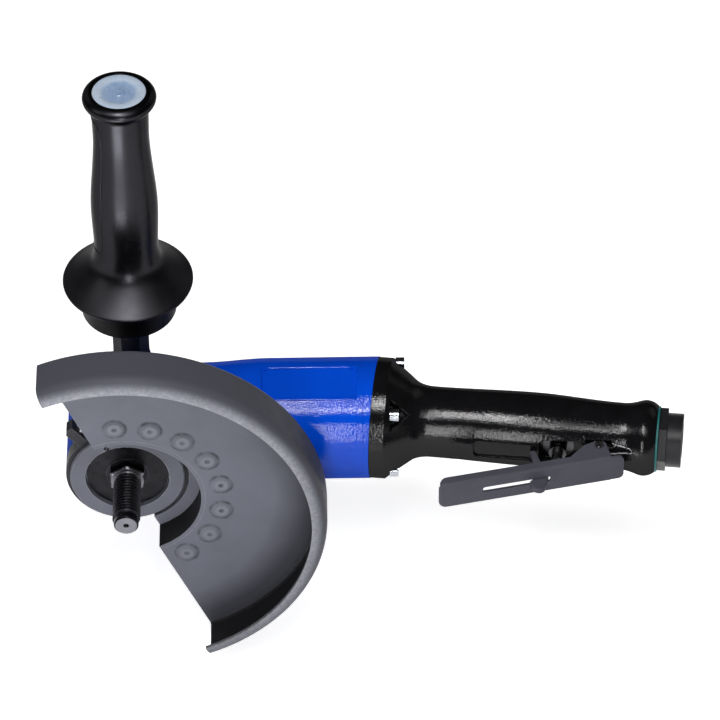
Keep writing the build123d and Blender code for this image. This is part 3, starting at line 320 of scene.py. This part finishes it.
def guard_grey(name, wall_radius, welds=()):
    """The same coat on the guard, with painted shade that darkens the outer face of its wall and blackens its
    inner face, and a painted highlight, partly real wear, along its lip.

    A face with weld spots also gets painted shade towards its wall and round its weld spots, and a painted
    highlight on their crests.
    """
    lip_fade = 2 * MM
    lip_highlight_and_wear_start, lip_highlight_and_wear_end = wall_radius + 2.5 * MM, wall_radius + 7.5 * MM
    look, tone = sheet_coat(name, coat_grey, coat_grey_light)
    reach = look.nearest(Y, [Vector()])
    if welds:
        tone = weld_painted_shade_and_highlight(look, face_painted_shade(look, tone, reach, wall_radius), welds)
    facing = look.facing(wall_radius)
    # Painted shade: the wall's outer face is darker grey
    outer_shade_mask = look.span(facing, 0.3, 0.8, 0.0, 1.0)
    # Painted shade: the wall's inner face, towards the spindle, is nearly black
    inner_shade_mask = look.span(facing, -0.6, -0.2, 1.0, 0.0)
    tone = look.mix(inner_shade_mask, look.mix(outer_shade_mask, tone, outer_wall_shade_grey), inner_wall_shade_black)
    # Painted highlight along the lip, partly real wear: fullest next to the wall, fading outwards and chipped
    # in patches
    lip = look.span(look.along("Y"), guard_lip, guard_lip + lip_fade, 1.0, 0.0)
    inner_edge = look.span(reach, lip_highlight_and_wear_start, lip_highlight_and_wear_end, 1.0, 0.3)
    chips = look.vary(1.6 * MM, 0.3, 0.62, chip_change, detail=5.0, roughness=0.6)
    rubbed = look.math("MULTIPLY", look.math("MULTIPLY", lip, inner_edge), chips)
    look.satin_coat(look.mix(rubbed, tone, lip_highlight_and_wear_grey), rubbed_and_highlight_grey, grain=0.02 * MM)
    return look.material


def dark_steel(name, dark, light, bright=()):
    """Blackened steel with rubbed edges; each pair of places along Y bounds a stretch turned bright."""
    fade = 0.1 * MM
    look = Finish(name, metallic=0.9, specular=0.4)
    tone = look.cloud(6 * MM, dark, light, full=0.75, detail=6.0)
    worn = look.rubbed(radius=0.5 * MM, patch=2.5 * MM, least=0.15)
    for start, end in bright:
        worn = look.math("MAXIMUM", worn, look.band(look.along("Y"), start, start + fade, end, end + fade))
    look.colour(look.mix(worn, tone, worn_steel))
    look.rough(look.vary(3 * MM, 0.26, 0.42, detail=5.0))
    look.bump(look.noise(0.4 * MM, detail=4.0), 0.015 * MM, rounding=0.3 * MM)
    return look.material


def bright_metal(name, dark, light, smooth, dull):
    """Bare or plated metal, unevenly polished."""
    look = Finish(name, metallic=1.0)
    look.colour(look.cloud(4 * MM, dark, light, detail=5.0))
    look.rough(look.vary(2 * MM, smooth, dull, detail=5.0))
    look.bump(look.noise(0.4 * MM), 0.02 * MM, rounding=0.25 * MM)
    return look.material


def moulded(name, dark, light, smooth, dull, specular, depth):
    """Plastic or rubber with a fine grain of a depth."""
    look = Finish(name, specular=specular)
    look.colour(look.cloud(20 * MM, dark, light))
    look.rough(look.vary(6 * MM, smooth, dull, detail=4.0))
    look.bump(look.noise(0.5 * MM), depth, rounding=0.3 * MM)
    return look.material


def grip_black():
    """Satin black moulding whose reflection stays dark towards its outline, smoother above its disc, with a
    painted highlight: a lighter tone on its disc.
    """
    disc_top, shaft_start = 106 * MM, 114 * MM
    look = Finish("grip_black", metallic=1.0)
    look.fill(look.surface["Specular Tint"], (0.5, 0.5, 0.5))
    shaft = look.span(look.along("Z"), disc_top, shaft_start, 0.0, 1.0)
    # Painted highlight: the disc is a lighter tone than the shaft, so that it reflects more
    disc_highlight_tone = (0.033, 0.033, 0.037)
    shaft_tone = look.cloud(20 * MM, (0.023, 0.023, 0.0262), (0.026, 0.026, 0.0296))
    look.colour(look.mix(shaft, disc_highlight_tone, shaft_tone))
    smoother = look.math("MULTIPLY", shaft, 0.12)
    look.rough(look.math("SUBTRACT", look.vary(6 * MM, 0.39, 0.44, detail=4.0), smoother))
    look.bump(look.noise(0.5 * MM), 0.012 * MM, rounding=0.3 * MM)
    return look.material


def cap_blue():
    """Milky plastic, painted paler on the rim of its dish as painted light."""
    dish_radius, rim_radius = 7.5 * MM, 9.5 * MM
    look = Finish("cap_blue")
    # Painted light: the rim of the dish is paler than the dish
    rim_painted_light = look.span(look.nearest(Z, [grip_foot]), dish_radius, rim_radius, 0.0, 1.0)
    rim_painted_light_tone = (0.4, 0.47, 0.57)
    dish_tone = look.cloud(7 * MM, (0.2, 0.28, 0.42), (0.27, 0.36, 0.51))
    look.colour(look.mix(rim_painted_light, dish_tone, rim_painted_light_tone))
    look.rough(look.vary(3 * MM, 0.22, 0.4))
    look.surface["Subsurface Weight"].default_value = 0.4
    look.surface["Subsurface Radius"].default_value = Vector((2, 2.5, 4)) * MM
    look.bump(look.noise(1 * MM), 0.03 * MM)
    return look.material


# Two tones of each finish, then its roughness from smooth to dull and the depth of its grain
looks = {
    "blue_enamel": blue_enamel(),
    "black_coat": black_coat(),
    "guard_grey": guard_grey("guard_grey", guard_wall_radius, weld_spots),
    "cover_grey": satin_grey("cover_grey", coat_grey, coat_grey_light, wear=worn_grey, grain=0.04 * MM),
    "lever_grey": satin_grey(
        "lever_grey", (0.056, 0.056, 0.071), (0.071, 0.071, 0.09), wear=(0.11, 0.11, 0.13), grain=0.015 * MM),
    "dark_steel": dark_steel("dark_steel", (0.008, 0.008, 0.0095), (0.015, 0.015, 0.018)),
    "steel": bright_metal("steel", (0.36, 0.36, 0.37), (0.48, 0.48, 0.49), smooth=0.2, dull=0.32),
    "zinc": bright_metal("zinc", (0.33, 0.34, 0.37), (0.43, 0.45, 0.48), smooth=0.08, dull=0.18),
    "iron": bright_metal("iron", (0.1, 0.1, 0.1), (0.16, 0.16, 0.16), smooth=0.4, dull=0.6),
    "bushing_brass": bright_metal(
        "bushing_brass", (0.45, 0.32, 0.12), (0.6, 0.44, 0.19), smooth=0.2, dull=0.35),
    "grip_black": grip_black(),
    "damper_rubber": moulded(
        "damper_rubber", (0.003, 0.003, 0.0035), (0.005, 0.005, 0.006),
        smooth=0.42, dull=0.55, specular=0.1, depth=0.02 * MM),
    "seal_rubber": moulded(
        "seal_rubber", (0.006, 0.006, 0.006), (0.01, 0.01, 0.01),
        smooth=0.5, dull=0.6, specular=0.3, depth=0.03 * MM),
    "gasket_teal": moulded(
        "gasket_teal", (0.003, 0.1, 0.1), (0.006, 0.14, 0.14),
        smooth=0.45, dull=0.6, specular=0.4, depth=0.02 * MM),
    "vane_resin": moulded(
        "vane_resin", (0.12, 0.07, 0.03), (0.17, 0.1, 0.05),
        smooth=0.5, dull=0.65, specular=0.3, depth=0.05 * MM),
    "cap_blue": cap_blue(),
}

# Nodes and pieces whose finish differs from that of their slot
own_looks = {
    "grip_stud": looks["grip_black"],
    "guard_collar": guard_grey("collar_grey", collar_wall_radius),
    "clamp_band": satin_grey(
        "band_grey", dark_and_painted_shade_black, (0.032, 0.032, 0.037), wear=(0.2, 0.2, 0.22), grain=0.02 * MM),
    "clamp_screw": bright_metal("screw_steel", (0.16, 0.16, 0.17), (0.24, 0.24, 0.25), smooth=0.25, dull=0.4),
    "lever_pin": bright_metal("pin_steel", (0.2, 0.2, 0.21), (0.3, 0.3, 0.31), smooth=0.25, dull=0.4),
    "valve_bushing": bright_metal(
        "bushing_steel", (0.05, 0.05, 0.053), (0.08, 0.08, 0.085), smooth=0.22, dull=0.34),
    "inlet_bushing": moulded(
        "inlet_black", (0.012, 0.012, 0.014), (0.018, 0.018, 0.021),
        smooth=0.3, dull=0.42, specular=0.2, depth=0.02 * MM),
    "lever_spring_leg": bright_metal(
        "spring_steel", (0.16, 0.16, 0.17), (0.24, 0.24, 0.25), smooth=0.2, dull=0.32),
}
slot_of = {part["node"]: part["material_slot"] for part in frame["record"]["subparts"]}
for name, node in nodes.items():
    node.data.materials.clear()
    node.data.materials.append(own_looks.get(name, looks[slot_of[name]]))


# Mesh helpers
sharp_angle = math.radians(35)


def place_object(name, data):
    """A new object in the scene."""
    made = bpy.data.objects.new(name, data)
    bpy.context.scene.collection.objects.link(made)
    return made


def piece(name, part, slot, body, replaced=()):
    """A mesh object with its finish, riding on a body and standing for the named nodes."""
    mesh = bpy.data.meshes.new(name)
    vertices, faces = part
    mesh.from_pydata(vertices, [], faces)
    mesh.validate()
    mesh.materials.append(own_looks.get(name, looks[slot]))
    for polygon in mesh.polygons:
        polygon.use_smooth = True
    mesh.set_sharp_from_angle(angle=sharp_angle)
    obj = place_object(name, mesh)
    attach(obj, body)
    if replaced:
        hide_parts(*replaced)


def circle(count):
    """Angles of equal steps round a circle."""
    return [2 * math.pi * step / count for step in range(count)]


def skin(rings, capped=True):
    """Vertices and faces over closed rings of equal length, with a face on each end where it is capped."""
    count = len(rings[0])
    vertices = [tuple(point) for ring in rings for point in ring]
    faces = []
    for row in range(len(rings) - 1):
        near, far = row * count, (row + 1) * count
        for step in range(count):
            after = (step + 1) % count
            faces.append((near + step, near + after, far + after, far + step))
    if capped:
        faces.append(tuple(reversed(range(count))))
        faces.append(tuple(range(len(vertices) - count, len(vertices))))
    return vertices, faces


def join(*parts):
    """One list of vertices and faces out of several."""
    vertices, faces = [], []
    for part_vertices, part_faces in parts:
        start = len(vertices)
        vertices += part_vertices
        faces += [tuple(start + index for index in face) for face in part_faces]
    return vertices, faces


def lathe(origin, axis, side, profile, count=96):
    """A turned form: profile holds (along, radius) or (along, radius, limit by angle), in millimetres."""
    third = axis.cross(side)
    rings = []
    for along, radius, *limits in profile:
        ring = []
        for angle in circle(count):
            reach = min([radius] + [limit(angle) for limit in limits])
            out = side * math.cos(angle) + third * math.sin(angle)
            ring.append(origin + (axis * along + out * reach) * MM)
        rings.append(ring)
    return skin(rings)


def tube(points, radius, flat=1.0, closed=False, count=10):
    """A round wire along points; flat squeezes it along the surface normal that each point carries."""
    rings = []
    last = len(points)
    for step, (point, normal) in enumerate(points):
        before, _ = points[(step - 1) % last if closed else max(step - 1, 0)]
        after, _ = points[(step + 1) % last if closed else min(step + 1, last - 1)]
        along = (after - before).normalized()
        across = along.cross(normal).normalized()
        rise = across.cross(along).normalized() * flat
        rings.append([
            point + (across * math.cos(angle) + rise * math.sin(angle)) * radius for angle in circle(count)])
    if closed:
        rings.append(rings[0])
    return skin(rings, capped=not closed)


def surface_of(name):
    """The node's surface, to set pieces on."""
    mesh = nodes[name].data
    corners = [vertex.co for vertex in mesh.vertices]
    return BVHTree.FromPolygons(corners, [tuple(polygon.vertices) for polygon in mesh.polygons])


# Spindle: thread, chamfered hexagon and the journals inside the head, in millimetres
thread_start, thread_end = -28.2, -0.6
thread_root, thread_crest, thread_pitch = 5.75, 7.0, 2.0
hexagon_flats, hexagon_corner = 17.0, math.radians(30)
bright_ends = ((-33 * MM, -31.9 * MM), (-0.6 * MM, 0.95 * MM))


def hexagon(angle):
    """Reach of the hexagonal shoulder at an angle round the spindle."""
    sixth = math.pi / 3
    turn = (angle - hexagon_corner + sixth / 2) % sixth - sixth / 2
    return hexagon_flats / 2 / math.cos(sixth / 2 - abs(turn))


def thread_ridge(per_turn=56):
    """A right-handed ridge along +Y that fades in and out over half a turn."""
    half_foot, half_top = 0.46 * thread_pitch, 0.09 * thread_pitch
    sunk_foot, sunk_top = thread_root - 0.3, thread_root - 0.15
    steps = int((thread_end - thread_start) / thread_pitch * per_turn)
    rings = []
    for step in range(steps + 1):
        angle = -2 * math.pi * step / per_turn
        along = thread_start + thread_pitch * step / per_turn
        fade = min(1.0, 2 * step / per_turn, 2 * (steps - step) / per_turn)
        top = sunk_top + (thread_crest - sunk_top) * fade
        out = X * math.cos(angle) + Z * math.sin(angle)
        corners = (
            (sunk_foot, along - half_foot), (top, along - half_top),
            (top, along + half_top), (sunk_foot, along + half_foot))
        rings.append([(out * radius + Y * level) * MM for radius, level in corners])
    return skin(rings)


spindle_profile = [
    # Centre hole, chamfered tip and the end of the thread
    (-30.4, 0.4), (-32.0, 1.5), (-32.0, 5.3), (-31.2, 6.2), (-28.6, 6.2), (-28.0, thread_root),
    # Core of the thread, and the shoulder
    (-0.9, thread_root), (-0.4, 6.6), (0.0, 6.9), (0.0, 8.1),
    (0.0, 8.3, hexagon), (0.85, 9.7, hexagon), (5.0, 9.9, hexagon),
    # Seal track, front journal, gear seat and rear journal
    (5.0, 10.6), (14.3, 10.6), (14.3, 10.0), (28.3, 10.0), (28.3, 9.0), (40.9, 9.0),
    (40.9, 6.0), (68.2, 6.0), (68.6, 5.6)]
spindle_core = lathe(Vector(), Y, X, spindle_profile)
own_looks["spindle_threaded"] = dark_steel(
    "spindle_steel", (0.008, 0.008, 0.01), (0.018, 0.018, 0.022), bright_ends)
piece("spindle_threaded", join(spindle_core, thread_ridge()), "dark_steel", "spindle", ["spindle"])


# Side grip: moulding line round the panel on its left side
grip_surface = surface_of("side_grip")
clear_of_grip = 60 * MM
seam_steps = 160
seam_radius, seam_flat = 0.5 * MM, 0.7
seam_middle, seam_half_height = 162 * MM, 41 * MM
seam_side, seam_half_turn = math.radians(90), math.radians(46)
seam_power_across, seam_power_along = 0.35, 0.22


def on_grip(turn, height):
    """Point and normal of the grip at an angle from the front towards the left, at a height."""
    out = -Y * math.cos(turn) - X * math.sin(turn)
    start = grip_foot + out * clear_of_grip + Z * height
    point, normal, *_ = grip_surface.ray_cast(start, -out)
    return point, normal


def squared(value, power):
    """A cosine or sine pushed out, so that the oval becomes a rounded rectangle."""
    return math.copysign(abs(value) ** power, value)


seam = []
for angle in circle(seam_steps):
    turn = seam_side + seam_half_turn * squared(math.cos(angle), seam_power_across)
    height = seam_middle + seam_half_height * squared(math.sin(angle), seam_power_along)
    seam.append(on_grip(turn, height))
piece("grip_moulding_line", tube(seam, seam_radius, seam_flat, closed=True), "grip_black", "body")


# Side grip: the moulding itself and its dished end cap, (height, radius) in millimetres
grip_profile = [
    # Foot and rim of the disc
    (92.5, 5.0), (92.5, 23.6), (93.6, 28.6), (94.6, 30.9), (95.6, 32.0), (96.6, 32.4), (97.1, 32.4),
    (97.6, 32.1), (98.1, 31.3),
    # Cone up to the shaft
    (99.2, 29.6), (101.2, 27.0), (103.4, 24.4), (105.6, 22.0), (107.6, 20.0), (109.2, 18.6), (110.4, 17.8),
    (111.6, 17.2), (113.0, 16.7), (115.0, 16.3), (118.0, 15.95),
    # Shaft: waist, belly and neck
    (121.7, 15.85), (126.0, 15.95), (131.0, 16.15), (136.0, 16.35), (140.5, 16.47), (145.0, 16.5),
    (150.0, 16.4), (156.0, 16.05), (162.0, 15.55), (168.0, 15.0), (174.0, 14.5), (180.0, 14.05),
    (185.5, 13.75), (191.0, 13.65), (198.0, 13.8), (204.0, 13.95), (206.0, 14.0),
    # Bead at the end, and the socket of the cap
    (207.4, 14.1), (208.6, 14.6), (209.6, 15.5), (210.4, 16.5), (211.2, 17.3), (212.2, 17.8), (213.4, 18.0),
    (214.4, 17.8), (215.3, 17.3), (216.1, 16.4), (216.7, 15.4), (217.0, 14.2), (217.0, 13.2),
    (210.0, 13.2), (210.0, 5.0)]
piece("grip_moulding", lathe(grip_foot, Z, X, grip_profile, count=128), "grip_black", "body", ["side_grip"])

cap_profile = [
    # Rim
    (210.0, 13.2), (216.2, 13.2), (216.75, 12.95), (217.0, 12.3), (217.0, 10.4),
    # Dish
    (216.85, 9.7), (216.45, 8.7), (216.1, 7.4), (215.85, 5.6), (215.75, 3.4),
    # Gate mark in the middle
    (215.8, 2.7), (216.05, 2.35), (216.3, 2.0), (216.3, 1.5), (216.15, 1.2), (216.2, 0.7), (216.3, 0.2)]
piece("grip_cap", lathe(grip_foot, Z, X, cap_profile), "cap_blue", "body", ["grip_end_cap"])


# Barrel: raised beads along both edges of the flat pad, curled in at their ends, in millimetres
pad_turn = math.radians(80)
pad_out = -Y * math.cos(pad_turn) + Z * math.sin(pad_turn)
pad_side = X.cross(pad_out)
bead_steps = 40
bead_radius, bead_flat = 0.75 * MM, 0.8
bead_height, bead_edge = 29.25, 10.2
curl, curl_share = 1.6, 0.06
# Each bead's side of the pad, and its start and end along the barrel
beads = {"lower": (-1, 69.5, 114.0), "upper": (1, 68.5, 115.4)}
for label, (side, start, end) in beads.items():
    bead = []
    for step in range(bead_steps + 1):
        share = step / bead_steps
        curled = max(0.0, abs(2 * share - 1) - (1 - curl_share)) / curl_share
        across = pad_side * side * (bead_edge - curl * curled)
        place = X * (start + (end - start) * share) + pad_out * bead_height + across
        bead.append((motor_foot + place * MM, pad_out))
    piece("pad_bead_" + label, tube(bead, bead_radius, bead_flat), "blue_enamel", "body")


# Handle: sloped foot of the pointed wall in the two front screw pockets, in millimetres
pocket_seat, pocket_floor = 132.5, 21.75
ramp_start, ramp_half_width, ramp_inner_width, ramp_height = 0.2, 8.28, 4.9, 2.4
point_along, point_inner, point_height = 10.25, 7.7, 0.75


def ramp_end(side):
    """Section of the foot at one end of the wall, as (along, across, rise)."""
    return [
        (ramp_start, side * ramp_half_width, 0), (ramp_start, side * ramp_half_width, ramp_height),
        (ramp_start, side * ramp_inner_width, 0)]


def in_pocket(out, along, across, rise):
    """Place in a pocket, out from the motor axis."""
    place = X * (pocket_seat + along) + X.cross(out) * across + out * (pocket_floor + rise)
    return motor_foot + place * MM


ramp_point = [(point_along, 0, 0), (point_along, 0, point_height), (point_inner, 0, 0)]
ramp_sections = (ramp_end(-1), ramp_point, ramp_end(1))
ramps = []
for side in (1, -1):
    out = Vector((0, -1, side)).normalized()
    ramps.append(skin([[in_pocket(out, *corner) for corner in section] for section in ramp_sections]))
piece("screw_pocket_ramps", join(*ramps), "black_coat", "body")


# Handle: hairpin leg of the lever's return spring, lying on the handle beside the pin, (x, z) in millimetres
handle_surface = surface_of("handle")
below_handle = -60 * MM
wire_radius, wire_rise = 0.42 * MM, 0.45 * MM
leg_steps, bend_steps = 12, 8
leg_start, leg_end = 242.6, 252.0
outer_side, inner_side = 8.8, 3.0
bend_middle, bend_half_width, bend_length = 5.8, 1.3, 2.6


def on_handle(x, z):
    """Point for the wire's middle on the handle's lower face, with the face's normal."""
    point, normal, *_ = handle_surface.ray_cast(Vector((x * MM, below_handle, z * MM)), Y)
    return point + normal * wire_rise, normal


def straight(start, end):
    """Places along a leg, both ends among them."""
    return [Vector(start).lerp(Vector(end), step / leg_steps) for step in range(leg_steps + 1)]


bend_turns = [math.pi * step / bend_steps for step in range(1, bend_steps)]
bend = [
    (leg_end + bend_length * math.sin(turn), bend_middle + bend_half_width * math.cos(turn))
    for turn in bend_turns]
outer_leg = straight((leg_start, outer_side), (leg_end, bend_middle + bend_half_width))
inner_leg = straight((leg_end, bend_middle - bend_half_width), (leg_start, inner_side))
hairpin = [on_handle(x, z) for x, z in outer_leg + bend + inner_leg]
piece("lever_spring_leg", tube(hairpin, wire_radius), "steel", "body")


# Safety latch: rounded thumb pad round its tab, (along, out) of the lever from the pivot, in millimetres
latch_pivot = Vector(joints["latch_flip"]["pos_m"])
lever_tilt = math.radians(12.15)
lever_along = -X * math.cos(lever_tilt) - Y * math.sin(lever_tilt)
lever_out = Z.cross(lever_along)
thumb_middle = Vector((4.0, 5.6))
thumb_outline = [
    (8.3, 2.4), (8.3, 5.6), (7.95, 7.0), (7.1, 8.3), (5.9, 9.1), (4.5, 9.4), (3.1, 9.1), (2.0, 8.3),
    (1.2, 7.0), (0.6, 5.4), (0.05, 3.5)]
thumb_side, thumb_edge, thumb_share = 1.55, 1.25, 0.93


def thumb_ring(level, share):
    """The pad's outline at a level across the lever, drawn in to a share of its size."""
    ring = []
    for point in thumb_outline:
        along, out = thumb_middle.lerp(Vector(point), share)
        ring.append(latch_pivot + (lever_along * along + lever_out * out + Z * level) * MM)
    return ring


thumb_pad = skin([
    thumb_ring(-thumb_side, thumb_share), thumb_ring(-thumb_edge, 1.0),
    thumb_ring(thumb_edge, 1.0), thumb_ring(thumb_side, thumb_share)])
piece("latch_thumb_pad", thumb_pad, "lever_grey", "latch")


# Floor: diffuse, with a glow that only the camera and reflections see; the guard turns clear of it
floor_half = 6.0
floor_drop = 9 * MM
floor_tone = (0.7, 0.7, 0.7)
floor_glow = 0.79


def floor_white():
    floor = Nodes("floor_white")
    floor.tree.nodes.clear()
    rays = floor.node("ShaderNodeLightPath").outputs
    seen = rays["Is Camera Ray"]
    for ray in ("Is Glossy Ray", "Is Transmission Ray"):
        seen = floor.math("MAXIMUM", seen, rays[ray])
    diffuse = floor.node("ShaderNodeBsdfDiffuse", {"Color": floor_tone})
    glow = floor.node("ShaderNodeEmission", {"Strength": floor.math("MULTIPLY", seen, floor_glow)})
    both = floor.node("ShaderNodeAddShader", {0: diffuse.outputs[0], 1: glow.outputs[0]})
    floor.node("ShaderNodeOutputMaterial", {"Surface": both.outputs[0]})
    return floor.material


floor_corners = [(x * floor_half, y * floor_half, 0) for x, y in ((-1, -1), (1, -1), (1, 1), (-1, 1))]
floor_mesh = bpy.data.meshes.new("floor")
floor_mesh.from_pydata(floor_corners, [], [(0, 1, 2, 3)])
floor_mesh.materials.append(floor_white())
floor = place_object("floor", floor_mesh)
floor.location.z = cad_low.z - floor_drop


# Lamps: soft boxes that face the tool, and a low panel before the head that the grip and the guard reflect
aim = Vector((0.12, 0.03, 0.01))
panel_height = 6 * MM
world_light = 0.03


def softbox(name, place, width, height, watts):
    """An area lamp at a place in metres, facing the tool."""
    lamp = bpy.data.lights.new(name, "AREA")
    lamp.shape = "RECTANGLE"
    lamp.size = width
    lamp.size_y = height
    lamp.energy = watts
    obj = place_object(name, lamp)
    obj.location = place
    obj.rotation_mode = "QUATERNION"
    obj.rotation_quaternion = (aim - Vector(place)).to_track_quat("-Z", "Y")
    obj.visible_camera = False
    return obj


softbox("lamp_above", (-0.035, -0.37, 1.2), width=0.15, height=0.42, watts=7.0)
softbox("lamp_above_right", (0.13, -0.74, 1.2), width=0.09, height=0.24, watts=2.5)
softbox("lamp_above_wide", (0.0, -0.5, 1.15), width=1.2, height=0.42, watts=4.5)
softbox("lamp_front", (0.068, -0.58, 0.16), width=0.09, height=0.38, watts=1.6)
softbox("lamp_behind_left", (-0.86, 1.01, 0.81), width=0.8, height=0.8, watts=1.0)
softbox("lamp_behind_right", (1.1, 1.01, 0.81), width=0.8, height=0.8, watts=1.0)
softbox("lamp_left", (-0.95, -0.25, 0.85), width=0.4, height=0.6, watts=1.5)
panel = softbox("lamp_low", (-0.06, -0.25, cad_low.z + panel_height), width=0.18, height=0.11, watts=1.0)
panel.rotation_quaternion = Z.to_track_quat("-Z", "Y")

world = bpy.data.worlds.new("studio")
bpy.context.scene.world = world
world.use_nodes = True
background = world.node_tree.nodes["Background"].inputs
background["Color"].default_value = (1, 1, 1, 1)
background["Strength"].default_value = world_light


# Camera at the photograph's viewing angle: a long lens, 42.6 degrees above the motor axis
focal_px, image_px = 4881.87, 720
sensor_width = 36.0
elevation, azimuth, roll = math.radians(42.58), math.radians(-0.66), math.radians(-0.36)
view_shift = Vector((-117.77, -30.9, -2489.78)) * MM

towards = X * math.sin(azimuth) - Y * math.cos(azimuth)
back = towards * math.cos(elevation) + Z * math.sin(elevation)
right = X * math.cos(azimuth) + Y * math.sin(azimuth)
up = back.cross(right)
turned_right = right * math.cos(roll) + up * math.sin(roll)
turned_up = up * math.cos(roll) - right * math.sin(roll)
view_turn = Matrix((turned_right, turned_up, back)).transposed()

camera = bpy.data.cameras.new("camera")
camera.sensor_width = sensor_width
camera.lens = sensor_width * focal_px / image_px
camera.clip_start = 0.05
camera.clip_end = 50
camera_object = place_object("camera", camera)
camera_object.matrix_world = Matrix.Translation(motor_foot - view_turn @ view_shift) @ view_turn.to_4x4()
bpy.context.scene.camera = camera_object
bpy.context.scene.view_settings.view_transform = "Standard"

bpy.context.view_layer.update()
